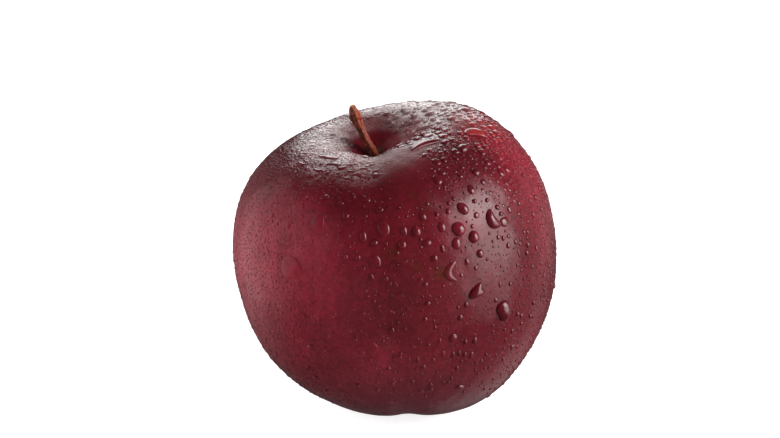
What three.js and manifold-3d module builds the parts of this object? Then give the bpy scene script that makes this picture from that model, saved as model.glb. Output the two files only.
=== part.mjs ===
// A ripe plum: a round stone fruit with broad shoulders and a narrower blossom end, its stalk, and beads
// of water that stand on its skin.
//
// Millimetres, +Z up. The origin is the middle of the small flat spot that the fruit rests on. The fruit
// leans towards -X, as it came to rest, and its suture, the shallow seam from the stalk to the blossom
// end, faces -Y.
//
// The skin is a polar formula: how far it lies from the fruit's centre in each direction. A direction is
// a polar angle, 0 at the stalk and PI at the blossom end, and an azimuth, 0 at the suture and growing
// towards +X.

import * as THREE from "three";
import { mergeVertices } from "three/addons/utils/BufferGeometryUtils.js";
import Module from "manifold-3d";

const degrees = THREE.MathUtils.degToRad;
const lerp = THREE.MathUtils.lerp;

// ---- Driving dimensions ----

const MEAN_RADIUS = 32.35;
const CENTRE = new THREE.Vector3(-1.3, -0.8, 31.75); // the fruit's centre, from the middle of the flat spot
const LEAN = degrees(7.4); // of the fruit's axis towards -X

// How the outline from stalk to blossom end departs from a circle, as shares of the mean radius that go
// with cos(polar), cos(2 polar) and so on: they square the shoulders and narrow the blossom end.
const MERIDIAN = [-0.011, -0.018, -0.03, -0.025];

// The cheek on the +X side is fuller than the other: a level share, and one that goes with cos(polar).
const FULLER_CHEEK = [0.031, 0.022];

// The fruit is this share wider from cheek to cheek than from suture to back.
const CHEEK_WIDTH = 0.01;

// Where this fruit swells out or lies flatter: a direction in degrees, how far it spreads, its height.
const SWELLS = [
  { polar: 149, azimuth: 60, spread: 22, height: 1.5 },
  { polar: 34, azimuth: 117, spread: 20, height: 1.2 },
  { polar: 17, azimuth: 174, spread: 14, height: 1.0 },
  { polar: 140, azimuth: -60, spread: 24, height: -1.0 },
  { polar: 110, azimuth: 100, spread: 26, height: 1.4 },
  { polar: 28, azimuth: 55, spread: 18, height: -1.0 },
];

// The hollow round the stalk is deepest on the axis and fades with the distance from it, and it is wider
// towards the suture.
const CAVITY = { depth: 7.2, spread: 8.5, wider: 3.4, power: 1.9 };

// The suture is a narrow crease in a broad shallow valley, and both are deepest over the shoulder.
const CREASE = { shoulder: 1.2, side: 0.35, blossom: 0.7, halfWidth: 3.2 };
const VALLEY = { shoulder: 0.8, side: 0.28, halfWidth: 10 };
const SHOULDER_ZONE = { polar: 24, spread: 22 };
const BLOSSOM_ZONE = { polar: 165, spread: 30 };
// It runs over one side of the fruit only: between these two cosines of the azimuth it fades in, and it
// closes up within this distance of the axis.
const SUTURE_SIDE = { from: -0.15, to: 0.35, axis: 4 };

// The stalk: radii at stations along it, from its foot to the swollen tip where it left the twig.
const STALK = {
  stations: [
    [0, 0.95],
    [1.7, 0.95],
    [2.8, 0.86],
    [5.0, 0.76],
    [8.0, 0.8],
    [9.4, 1.0],
    [10.3, 1.15],
    [11.2, 1.02],
    [11.9, 0.78],
    [12.5, 0.66],
    [12.9, 0.35],
  ],
  root: 1.7, // how much of it stands in its hole
  lean: degrees(25), // towards -X
  bow: -0.45, // how far its middle bends towards +X
  tipRise: 0.1, // of the middle of its end over the edge
  sides: 12,
};
const STALK_CLEARANCE = 0.3;

// Beads of water set by hand on the suture's side of the fruit:
// [polar, azimuth, length, width, turn, fullness], in degrees and millimetres. The length runs down the
// fruit, turn swings its lower end towards +X, and fullness is 1 for a round bead, less for a flatter one
// and more for a heavier one.
const PLACED_BEADS = [
  [68, 29, 2.9, 2.9, 0, 1],
  [72, 34, 2.4, 2.4, 0, 1],
  [72.5, 27, 2.4, 2.0, -15, 0.9],
  [62, 33, 2.9, 2.1, 28, 1],
  [78, 35, 1.8, 1.6, 0, 1],
  [69, 43, 4.3, 2.4, 24, 1.1],
  [71, 48.5, 2.0, 2.4, 0, 0.5],
  [81.5, 22, 4.2, 1.7, -4, 0.7],
  [91, 31.5, 2.4, 3.6, 22, 0.85],
  [101.5, 43.5, 4.4, 3.2, 6, 1.3],
  [57, 40, 2.1, 1.7, 0, 0.7],
  [52, 47, 2.0, 1.9, 0, 0.7],
  [39.5, 73, 4.8, 2.6, 32, 0.6],
  [42, 53, 2.2, 3.0, 10, 0.7],
  [62.5, 1.5, 3.4, 2.4, 10, 0.55],
  [73.5, -3, 2.8, 2.2, 0, 0.5],
  [59, -25, 3.0, 2.8, 0, 0.25],
  [64, -14, 1.9, 2.9, 10, 0.25],
  [75, -36, 5.0, 5.0, 0, 0.28],
  [106, -9, 3.4, 2.5, 10, 0.25],
  [106.5, 22, 1.7, 1.8, 0, 0.8],
  [113, 0, 2.1, 2.2, 0, 0.35],
  [106, -34, 1.6, 1.7, 0, 0.8],
];

// The beads on the far side are drawn at random, clear of each other, of the cavity and of the flat spot.
const DRAWN_BEADS = {
  count: 56,
  seed: 20,
  narrowest: 1.6,
  widest: 3.6,
  fewWide: 2.5, // the power that makes most of them narrow
  longest: 1.5, // of the width
  fewLong: 2,
  mostTurn: degrees(20),
  fullness: 0.85,
  highestPolar: degrees(34),
  lowestPolar: degrees(138),
  front: { polar: 73, azimuth: 0 },
  fromFront: degrees(112), // the least angle between a bead's direction and the front
  gap: 1.25, // between centres, as a share of the mean of their lengths
};
const BEAD = {
  heightShare: 0.36, // of the width
  highest: 1.2,
  root: 0.7, // how far its foot is sunk below the skin
  rim: 0.5, // its radius, as a share of its length and width
  brow: { radius: 0.36, height: 0.62 }, // where its side turns over, as shares of its size
  sides: 8,
};

const TABLE = { width: 80, depth: 10 }; // what cuts the flat spot
const NEAR = 1e-3; // the step between two neighbouring directions, in radians
const SAME_POINT = 1e-4; // vertices closer than this are one
const SKIN_GRID = { around: 56, down: 40, closerAtCavity: 0.4, closerAtSuture: 0.6 };

// ---- The skin ----

function fade(distance, spread, power = 2) {
  return Math.exp(-((Math.abs(distance) / spread) ** power));
}

// The direction of a polar angle and an azimuth, in the fruit's own frame, where +Z runs to the stalk.
function direction(polar, azimuth) {
  return new THREE.Vector3(
    Math.sin(polar) * Math.sin(azimuth),
    -Math.sin(polar) * Math.cos(azimuth),
    Math.cos(polar),
  );
}

const swells = SWELLS.map(({ polar, azimuth, spread, height }) => ({
  middle: direction(degrees(polar), degrees(azimuth)),
  spread: degrees(spread),
  height,
}));

// The fruit without its cavity and suture.
function fullRadius(polar, azimuth) {
  const cheekShare =
    Math.sin(polar) *
      Math.sin(azimuth) *
      (FULLER_CHEEK[0] + FULLER_CHEEK[1] * Math.cos(polar)) -
    CHEEK_WIDTH * Math.sin(polar) ** 2 * Math.cos(2 * azimuth);
  const share = MERIDIAN.reduce(
    (sum, part, k) => sum + part * Math.cos((k + 1) * polar),
    1 + cheekShare,
  );
  const towards = direction(polar, azimuth);
  return swells.reduce(
    (sum, swell) =>
      sum + swell.height * fade(towards.angleTo(swell.middle), swell.spread),
    MEAN_RADIUS * share,
  );
}

function cavityDepth(polar, azimuth, fromAxis) {
  const spread = CAVITY.spread + (CAVITY.wider * (1 + Math.cos(azimuth))) / 2;
  return polar < Math.PI / 2
    ? CAVITY.depth * fade(fromAxis, spread, CAVITY.power)
    : 0;
}

function sutureDepth(polar, azimuth, fromAxis) {
  const zone = ({ polar: middle, spread }) =>
    fade(polar - degrees(middle), degrees(spread));
  const shoulder = zone(SHOULDER_ZONE);
  const blossom = zone(BLOSSOM_ZONE);
  const sideways = fromAxis * Math.sin(azimuth);
  const creaseDepth =
    CREASE.side +
    (CREASE.shoulder - CREASE.side) * shoulder +
    (CREASE.blossom - CREASE.side) * blossom;
  const valleyDepth = lerp(VALLEY.side, VALLEY.shoulder, shoulder);
  const onSutureSide = THREE.MathUtils.smoothstep(
    Math.cos(azimuth) * Math.min(1, fromAxis / SUTURE_SIDE.axis),
    SUTURE_SIDE.from,
    SUTURE_SIDE.to,
  );
  return (
    onSutureSide *
    (creaseDepth * fade(sideways, CREASE.halfWidth) +
      valleyDepth * fade(sideways, VALLEY.halfWidth))
  );
}

// A point of the skin, in the part's frame.
function skinPoint(polar, azimuth) {
  const fromAxis = MEAN_RADIUS * Math.sin(polar);
  const radius =
    fullRadius(polar, azimuth) -
    cavityDepth(polar, azimuth, fromAxis) -
    sutureDepth(polar, azimuth, fromAxis);
  return direction(polar, azimuth)
    .multiplyScalar(radius)
    .applyAxisAngle(new THREE.Vector3(0, 1, 0), -LEAN)
    .add(CENTRE);
}

// The skin at a direction: a point, the way down the fruit, the way round it and the way out of it.
function skinFrame(polar, azimuth) {
  const point = skinPoint(polar, azimuth);
  const down = skinPoint(polar + NEAR, azimuth).sub(point).normalize();
  const round = skinPoint(polar, azimuth + NEAR).sub(point).normalize();
  const out = new THREE.Vector3().crossVectors(down, round).normalize();
  return { point, down, round: round.crossVectors(out, down), out };
}

// ---- Solids ----

const wasm = await Module();
wasm.setup();

function solidOf(geometry) {
  const bare = geometry.clone();
  bare.deleteAttribute("normal");
  bare.deleteAttribute("uv");
  const merged = mergeVertices(bare, SAME_POINT);
  return new wasm.Manifold(
    new wasm.Mesh({
      numProp: 3,
      vertProperties: new Float32Array(merged.attributes.position.array),
      triVerts: new Uint32Array(merged.index.array),
    }),
  );
}

function geometryOf(solid) {
  const mesh = solid.getMesh();
  const geometry = new THREE.BufferGeometry();
  geometry.setAttribute(
    "position",
    new THREE.BufferAttribute(mesh.vertProperties, 3),
  );
  geometry.setIndex(new THREE.BufferAttribute(mesh.triVerts, 1));
  geometry.computeVertexNormals();
  return geometry;
}

// A globe whose vertices are moved out to the skin. They are closer together at the cavity and along the
// suture.
function skinGeometry() {
  const { around, down, closerAtCavity, closerAtSuture } = SKIN_GRID;
  const globe = new THREE.SphereGeometry(1, around, down);
  const position = globe.attributes.position;
  const at = new THREE.Vector3();
  for (let i = 0; i < position.count; i++) {
    at.fromBufferAttribute(position, i);
    const even = Math.acos(THREE.MathUtils.clamp(at.y, -1, 1));
    const turn = Math.atan2(at.x, at.z);
    const polar = even - closerAtCavity * Math.sin(even);
    const azimuth = turn - closerAtSuture * Math.sin(turn);
    const point = skinPoint(polar, azimuth);
    position.setXYZ(i, point.x, point.y, point.z);
  }
  return globe;
}

// ---- Beads of water ----

// A repeatable run of numbers between 0 and 1.
function* chances(seed) {
  const modulus = 2147483647;
  for (let state = seed; ; ) {
    state = (state * 48271) % modulus;
    yield state / modulus;
  }
}

function placedBeads() {
  return PLACED_BEADS.map(([polar, azimuth, length, width, turn, fullness]) => ({
    ...skinFrame(degrees(polar), degrees(azimuth)),
    length,
    width,
    turn: degrees(turn),
    fullness,
  }));
}

function drawnBeads() {
  const run = chances(DRAWN_BEADS.seed);
  const next = () => run.next().value;
  const front = direction(
    degrees(DRAWN_BEADS.front.polar),
    degrees(DRAWN_BEADS.front.azimuth),
  );
  const beads = [];
  while (beads.length < DRAWN_BEADS.count) {
    const polar = Math.acos(
      lerp(
        Math.cos(DRAWN_BEADS.lowestPolar),
        Math.cos(DRAWN_BEADS.highestPolar),
        next(),
      ),
    );
    const azimuth = lerp(-Math.PI, Math.PI, next());
    const width = lerp(
      DRAWN_BEADS.narrowest,
      DRAWN_BEADS.widest,
      next() ** DRAWN_BEADS.fewWide,
    );
    const length =
      width * lerp(1, DRAWN_BEADS.longest, next() ** DRAWN_BEADS.fewLong);
    const turn = lerp(-DRAWN_BEADS.mostTurn, DRAWN_BEADS.mostTurn, next());
    const frame = skinFrame(polar, azimuth);
    const bead = { ...frame, length, width, turn, fullness: DRAWN_BEADS.fullness };
    const hidden =
      direction(polar, azimuth).angleTo(front) > DRAWN_BEADS.fromFront;
    const clear = beads.every(
      (other) =>
        other.point.distanceTo(bead.point) >
        (DRAWN_BEADS.gap * (other.length + bead.length)) / 2,
    );
    if (hidden && clear) beads.push(bead);
  }
  return beads;
}

// A low dome of water, with its foot sunk below the skin.
function beadSolid({ point, down, round, out, length, width, turn, fullness }) {
  const height = fullness * Math.min(BEAD.heightShare * width, BEAD.highest);
  const profile = [
    new THREE.Vector2(0, -BEAD.root),
    new THREE.Vector2(BEAD.rim, -BEAD.root),
    new THREE.Vector2(BEAD.rim, 0),
    new THREE.Vector2(BEAD.brow.radius, BEAD.brow.height * height),
    new THREE.Vector2(0, height),
  ];
  const along = down
    .clone()
    .multiplyScalar(Math.cos(turn))
    .addScaledVector(round, Math.sin(turn));
  const across = new THREE.Vector3().crossVectors(out, along);
  const place = new THREE.Matrix4()
    .makeBasis(along.multiplyScalar(length), out, across.multiplyScalar(-width))
    .setPosition(point);
  return solidOf(
    new THREE.LatheGeometry(profile, BEAD.sides).applyMatrix4(place),
  );
}

// ---- The stalk ----

// The stalk stands on its own origin, along +Y, before it is placed.
function stalkGeometry(grow = 0) {
  const length = STALK.stations.at(-1)[0];
  const profile = [
    new THREE.Vector2(0, -grow),
    ...STALK.stations.map(
      ([along, radius], i) =>
        new THREE.Vector2(radius + grow, i === 0 ? -grow : along),
    ),
    new THREE.Vector2(0, length + STALK.tipRise + grow),
  ];
  const geometry = new THREE.LatheGeometry(profile, STALK.sides);
  const position = geometry.attributes.position;
  for (let i = 0; i < position.count; i++) {
    const share = position.getY(i) / length;
    position.setX(i, position.getX(i) + STALK.bow * 4 * share * (1 - share));
  }
  return geometry;
}

// From the stalk's own frame to the part's.
const cavityFloor = skinPoint(0, 0);
const stalkPlace = new THREE.Object3D();
stalkPlace.rotation.set(Math.PI / 2, 0, 0);
stalkPlace.rotation.order = "YXZ";
stalkPlace.rotation.y = -STALK.lean;
stalkPlace.position
  .set(0, 0, -STALK.root)
  .applyAxisAngle(new THREE.Vector3(0, 1, 0), -STALK.lean)
  .add(cavityFloor);
stalkPlace.updateMatrix();

// ---- The fruit ----

function fruitGeometry() {
  const table = new THREE.BoxGeometry(
    TABLE.width,
    TABLE.width,
    TABLE.depth,
  ).translate(0, 0, -TABLE.depth / 2);
  const stalkHole = stalkGeometry(STALK_CLEARANCE).applyMatrix4(
    stalkPlace.matrix,
  );
  const beads = [...placedBeads(), ...drawnBeads()].map(beadSolid);
  return geometryOf(
    wasm.Manifold.union([solidOf(skinGeometry()), ...beads])
      .subtract(solidOf(table))
      .subtract(solidOf(stalkHole)),
  );
}

const skinMaterial = new THREE.MeshStandardMaterial({
  color: 0x6b1a22,
  roughness: 0.32,
  metalness: 0,
});
const stalkMaterial = new THREE.MeshStandardMaterial({
  color: 0x8a4a24,
  roughness: 0.75,
  metalness: 0,
});

const fruit = new THREE.Mesh(fruitGeometry(), skinMaterial);
fruit.name = "fruit";

const stalk = new THREE.Mesh(stalkGeometry(), stalkMaterial);
stalk.name = "stalk";
stalk.applyMatrix4(stalkPlace.matrix);

const plum = new THREE.Group();
plum.add(fruit, stalk);

export default plum;
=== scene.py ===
"""The looks of a ripe plum with beads of water on its waxy skin.

Metres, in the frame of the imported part: +Z up, the origin in the middle of the flat spot that the fruit
rests on. The fruit leans towards -X, and its suture faces -Y. The skin is the same polar formula as the
part's own, with a finer grid, a faint waviness and a crack.
"""

import itertools
import math

import bpy
import numpy as np
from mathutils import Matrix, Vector


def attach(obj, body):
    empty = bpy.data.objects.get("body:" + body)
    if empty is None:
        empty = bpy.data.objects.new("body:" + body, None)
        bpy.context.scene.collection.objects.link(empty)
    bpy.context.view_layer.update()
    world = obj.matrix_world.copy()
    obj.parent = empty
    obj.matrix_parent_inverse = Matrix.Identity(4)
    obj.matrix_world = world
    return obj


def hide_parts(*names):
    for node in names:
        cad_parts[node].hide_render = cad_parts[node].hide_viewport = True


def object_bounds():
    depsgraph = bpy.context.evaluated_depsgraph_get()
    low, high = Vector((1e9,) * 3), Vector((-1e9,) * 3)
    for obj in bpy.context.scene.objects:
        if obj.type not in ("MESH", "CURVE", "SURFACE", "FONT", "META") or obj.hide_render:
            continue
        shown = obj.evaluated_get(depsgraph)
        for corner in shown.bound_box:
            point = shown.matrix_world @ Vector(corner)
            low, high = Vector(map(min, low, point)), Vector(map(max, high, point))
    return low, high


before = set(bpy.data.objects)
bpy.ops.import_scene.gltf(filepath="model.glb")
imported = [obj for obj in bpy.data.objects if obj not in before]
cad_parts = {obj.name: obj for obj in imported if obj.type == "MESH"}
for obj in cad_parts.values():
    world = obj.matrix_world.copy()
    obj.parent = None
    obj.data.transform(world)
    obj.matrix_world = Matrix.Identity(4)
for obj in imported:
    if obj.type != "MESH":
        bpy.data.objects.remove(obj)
cad_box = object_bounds()

MM = 0.001

# ---- The fruit's shape: the part's own driving dimensions ----

MEAN_RADIUS = 32.35 * MM
CENTRE = np.array([-1.3, -0.8, 31.75]) * MM
LEAN = math.radians(7.4)
# The meridian's curve and the fuller cheek towards +X, as shares of the mean radius.
MERIDIAN = [-0.011, -0.018, -0.03, -0.025]
FULLER_CHEEK = [0.031, 0.022]
CHEEK_WIDTH = 0.01
SWELLS = [  # polar angle, azimuth and spread in degrees, and height
    (149, 60, 22, 1.5 * MM),
    (34, 117, 20, 1.2 * MM),
    (17, 174, 14, 1.0 * MM),
    (140, -60, 24, -1.0 * MM),
    (110, 100, 26, 1.4 * MM),
    (28, 55, 18, -1.0 * MM),
]
CAVITY = {"depth": 7.2 * MM, "spread": 8.5 * MM, "wider": 3.4 * MM, "power": 1.9}
CREASE = {"shoulder": 1.2 * MM, "side": 0.35 * MM, "blossom": 0.7 * MM, "half_width": 3.2 * MM}
VALLEY = {"shoulder": 0.8 * MM, "side": 0.28 * MM, "half_width": 10 * MM}
SHOULDER_ZONE = (24, 22)  # its middle polar angle and its spread, in degrees
BLOSSOM_ZONE = (165, 30)
SUTURE_SIDE = {"from": -0.15, "to": 0.35, "axis": 4 * MM}

# ---- What only the looks have ----

FLOOR_SOFTNESS = 0.15 * MM  # how gently the skin turns into the flat spot
NEAR = 1e-3  # the step between two neighbouring directions, in radians
# The skin's faint waviness: a sum of plane waves in random directions.
WAVES = {
    "count": 16,
    "seed": 5,
    "shortest": 3.2 * MM,
    "longest": 11 * MM,
    "height": 0.011 * MM,
    "at_shoulder": 0.9,
}
CAVITY_CALM = (8, 24)  # the waviness grows between these polar angles
# A fine ragged crack across the left shoulder, in degrees and metres.
CRACK_LINE = {
    "polar": 32,
    "azimuth": -36,
    "reach": 11,
    "wander": 0.8,
    "turns": (14, 37),
    "width": 0.3 * MM,
    "depth": 0.15 * MM,
    "sharp_ends": 6,
}


def fade(distance, spread, power=2):
    return np.exp(-((np.abs(distance) / spread) ** power))


def smoothstep(x, low, high):
    t = np.clip((x - low) / (high - low), 0, 1)
    return t * t * (3 - 2 * t)


def lerp(low, high, share):
    return low + (high - low) * share


def direction(polar, azimuth):
    """Directions in the fruit's own frame: polar angles from the stalk, azimuths from the suture."""
    x, y = np.sin(polar) * np.sin(azimuth), -np.sin(polar) * np.cos(azimuth)
    return np.stack([x, y, np.cos(polar) + 0 * azimuth], axis=-1)


def full_radius(polar, azimuth):
    cheek = np.sin(polar) * np.sin(azimuth) * (FULLER_CHEEK[0] + FULLER_CHEEK[1] * np.cos(polar))
    cheek -= CHEEK_WIDTH * np.sin(polar) ** 2 * np.cos(2 * azimuth)
    share = 1 + cheek
    for k, part in enumerate(MERIDIAN, start=1):
        share = share + part * np.cos(k * polar)
    radius = MEAN_RADIUS * share
    towards = direction(polar, azimuth)
    for swell_polar, swell_azimuth, spread, height in SWELLS:
        middle = direction(math.radians(swell_polar), math.radians(swell_azimuth))
        angle = np.arccos(np.clip(towards @ middle, -1, 1))
        radius = radius + height * fade(angle, math.radians(spread))
    return radius


def drawn_waves():
    """Each wave's vector, in radians a metre, and its phase."""
    rng = np.random.default_rng(WAVES["seed"])
    ways = rng.normal(size=(WAVES["count"], 3))
    ways /= np.linalg.norm(ways, axis=1, keepdims=True)
    lengths = WAVES["shortest"] * (WAVES["longest"] / WAVES["shortest"]) ** rng.random((WAVES["count"], 1))
    return 2 * math.pi * ways / lengths, rng.uniform(0, 2 * math.pi, WAVES["count"])


WAVE_VECTORS, WAVE_PHASES = drawn_waves()


def waviness(polar, azimuth):
    place = MEAN_RADIUS * direction(polar, azimuth)
    waves = sum(np.sin(place @ vector + phase) for vector, phase in zip(WAVE_VECTORS, WAVE_PHASES))
    shoulder = fade(polar - math.radians(SHOULDER_ZONE[0]), math.radians(SHOULDER_ZONE[1]))
    outside_cavity = smoothstep(polar, *np.radians(CAVITY_CALM))
    return WAVES["height"] * waves * (1 + WAVES["at_shoulder"] * shoulder) * outside_cavity


def crack(polar, azimuth):
    """How deep the crack is."""
    line = CRACK_LINE
    along = azimuth - math.radians(line["azimuth"])
    wander = math.radians(line["wander"]) * sum(np.sin(turns * along) for turns in line["turns"])
    across = MEAN_RADIUS * (polar - math.radians(line["polar"]) - wander)
    ends = fade(along, math.radians(line["reach"]), line["sharp_ends"])
    return line["depth"] * fade(across, line["width"]) * ends


def plain_radius(polar, azimuth):
    """The part's own skin, from the fruit's centre."""
    from_axis = MEAN_RADIUS * np.sin(polar)
    sideways = from_axis * np.sin(azimuth)
    shoulder, blossom = (
        fade(polar - math.radians(middle), math.radians(spread))
        for middle, spread in (SHOULDER_ZONE, BLOSSOM_ZONE)
    )
    crease = (
        CREASE["side"]
        + (CREASE["shoulder"] - CREASE["side"]) * shoulder
        + (CREASE["blossom"] - CREASE["side"]) * blossom
    )
    valley = VALLEY["side"] + (VALLEY["shoulder"] - VALLEY["side"]) * shoulder
    on_suture_side = smoothstep(
        np.cos(azimuth) * np.minimum(1, from_axis / SUTURE_SIDE["axis"]),
        SUTURE_SIDE["from"],
        SUTURE_SIDE["to"],
    )
    suture = on_suture_side * (
        crease * fade(sideways, CREASE["half_width"]) + valley * fade(sideways, VALLEY["half_width"])
    )
    cavity_spread = CAVITY["spread"] + CAVITY["wider"] * (1 + np.cos(azimuth)) / 2
    cavity = np.where(
        polar < math.pi / 2, CAVITY["depth"] * fade(from_axis, cavity_spread, CAVITY["power"]), 0
    )
    return full_radius(polar, azimuth) - cavity - suture


def leaned(vectors, lean=LEAN):
    """Turned from the fruit's own frame to the part's, where its axis leans towards -X."""
    c, s = math.cos(lean), math.sin(lean)
    x, y, z = np.moveaxis(vectors, -1, 0)
    return np.stack([c * x - s * z, y, s * x + c * z], axis=-1)


def plain_point(polar, azimuth):
    return CENTRE + leaned(direction(polar, azimuth) * plain_radius(polar, azimuth)[..., None])


def skin_point(polar, azimuth):
    radius = plain_radius(polar, azimuth) + waviness(polar, azimuth) - crack(polar, azimuth)
    return CENTRE + leaned(direction(polar, azimuth) * radius[..., None])


def skin_below(points):
    """The points of the skin that lie between these points and the fruit's centre."""
    x, y, z = np.moveaxis(leaned(points - CENTRE, -LEAN), -1, 0)
    return skin_point(np.arctan2(np.hypot(x, y), z), np.arctan2(x, -y))


def unit(vectors):
    return vectors / np.linalg.norm(vectors, axis=-1, keepdims=True)


def skin_frames(polar, azimuth):
    """Points of the skin, the ways down the fruit there, round it and out of it."""
    point = skin_point(polar, azimuth)
    down = unit(skin_point(polar + NEAR, azimuth) - point)
    round_ = unit(skin_point(polar, azimuth + NEAR) - point)
    out = unit(np.cross(down, round_))
    return point, down, np.cross(out, down), out


def skin_spot(polar, azimuth):
    """One point of the skin, from two angles in degrees."""
    return skin_point(np.radians(float(polar)), np.radians(float(azimuth)))


def on_floor(points):
    """The same points, with what would lie below the floor pressed gently flat."""
    flat = points.copy()
    flat[..., 2] = FLOOR_SOFTNESS * np.logaddexp(0, points[..., 2] / FLOOR_SOFTNESS)
    return flat


# ---- Meshes ----


def placed(name, data):
    """A new object in the scene."""
    thing = bpy.data.objects.new(name, data)
    bpy.context.scene.collection.objects.link(thing)
    return thing


def mesh_object(name, points, faces, material):
    """A smooth piece, held inside the part's own box."""
    mesh = bpy.data.meshes.new(name)
    mesh.from_pydata(np.clip(points, cad_box[0], cad_box[1]).tolist(), [], faces)
    mesh.shade_smooth()
    mesh.materials.append(material)
    return placed(name, mesh)


def ring_faces(rings, around, turned=False):
    """The faces of a closed stack of rings, whose points come after those of its two ends."""
    index = 2 + np.arange(rings * around).reshape(rings, around)
    beside = np.roll(index, -1, axis=1)
    quads = np.stack([index[:-1], index[1:], beside[1:], beside[:-1]], axis=-1).reshape(-1, 4)
    first = np.stack([np.zeros(around, int), index[0], beside[0]], axis=-1)
    last = np.stack([np.ones(around, int), beside[-1], index[-1]], axis=-1)
    faces = quads.tolist() + first.tolist() + last.tolist()
    return [face[:1] + face[:0:-1] for face in faces] if turned else faces


FRUIT_GRID = {"around": 320, "down": 230, "closer_at_cavity": 0.4, "closer_at_suture": 0.45}


def fruit_mesh(material):
    around, down = FRUIT_GRID["around"], FRUIT_GRID["down"]
    even = np.linspace(0, math.pi, down + 1)
    polar = even - FRUIT_GRID["closer_at_cavity"] * np.sin(even)
    turn = np.linspace(-math.pi, math.pi, around + 1)[:-1]
    azimuth = turn - FRUIT_GRID["closer_at_suture"] * np.sin(turn)
    inner = on_floor(skin_point(*np.meshgrid(polar[1:-1], azimuth, indexing="ij"))).reshape(-1, 3)
    ends = on_floor(skin_point(np.array([0.0, math.pi]), np.array([0.0, 0.0])))
    return mesh_object("plum_skin", np.concatenate([ends, inner]), ring_faces(down - 1, around), material)


# ---- Beads of water ----

# The beads that the part has too, on the suture's side: polar angle and azimuth, length, width and turn,
# in degrees and millimetres, and how full the bead stands, all as there. Then what only the looks show:
# how far its ends bend towards +X and how much wider it is at its lower end, as shares of the width.
PLACED_BEADS = [
    (68, 29, 2.9, 2.9, 0, 1, 0, 0),
    (72, 34, 2.4, 2.4, 0, 1, 0, 0),
    (72.5, 27, 2.4, 2, -15, 0.9, 0, 0),
    (62, 33, 2.9, 2.1, 28, 1, 0, 0.1),
    (78, 35, 1.8, 1.6, 0, 1, 0, 0),
    (69, 43, 4.3, 2.4, 24, 1.1, 0.4, 0.1),
    (71, 48.5, 2, 2.4, 0, 0.5, 0, -0.2),
    (81.5, 22, 4.2, 1.7, -4, 0.7, 0.95, 0),
    (91, 31.5, 2.4, 3.6, 22, 0.85, 0.3, 0.1),
    (101.5, 43.5, 4.4, 3.2, 6, 1.3, -0.1, -0.45),
    (57, 40, 2.1, 1.7, 0, 0.7, 0, 0.1),
    (52, 47, 2, 1.9, 0, 0.7, 0, 0),
    (39.5, 73, 4.8, 2.6, 32, 0.6, -0.25, 0),
    (42, 53, 2.2, 3, 10, 0.7, 0, 0),
    (62.5, 1.5, 3.4, 2.4, 10, 0.55, 0, 0.1),
    (73.5, -3, 2.8, 2.2, 0, 0.5, 0, 0.1),
    (59, -25, 3, 2.8, 0, 0.25, 0.2, 0.1),
    (64, -14, 1.9, 2.9, 10, 0.25, 0, 0.1),
    (75, -36, 5, 5, 0, 0.28, -0.1, 0.1),
    (106, -9, 3.4, 2.5, 10, 0.25, -0.2, 0.1),
    (106.5, 22, 1.7, 1.8, 0, 0.8, 0, 0),
    (113, 0, 2.1, 2.2, 0, 0.35, 0, 0),
    (106, -34, 1.6, 1.7, 0, 0.8, 0, 0),
]
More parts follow.
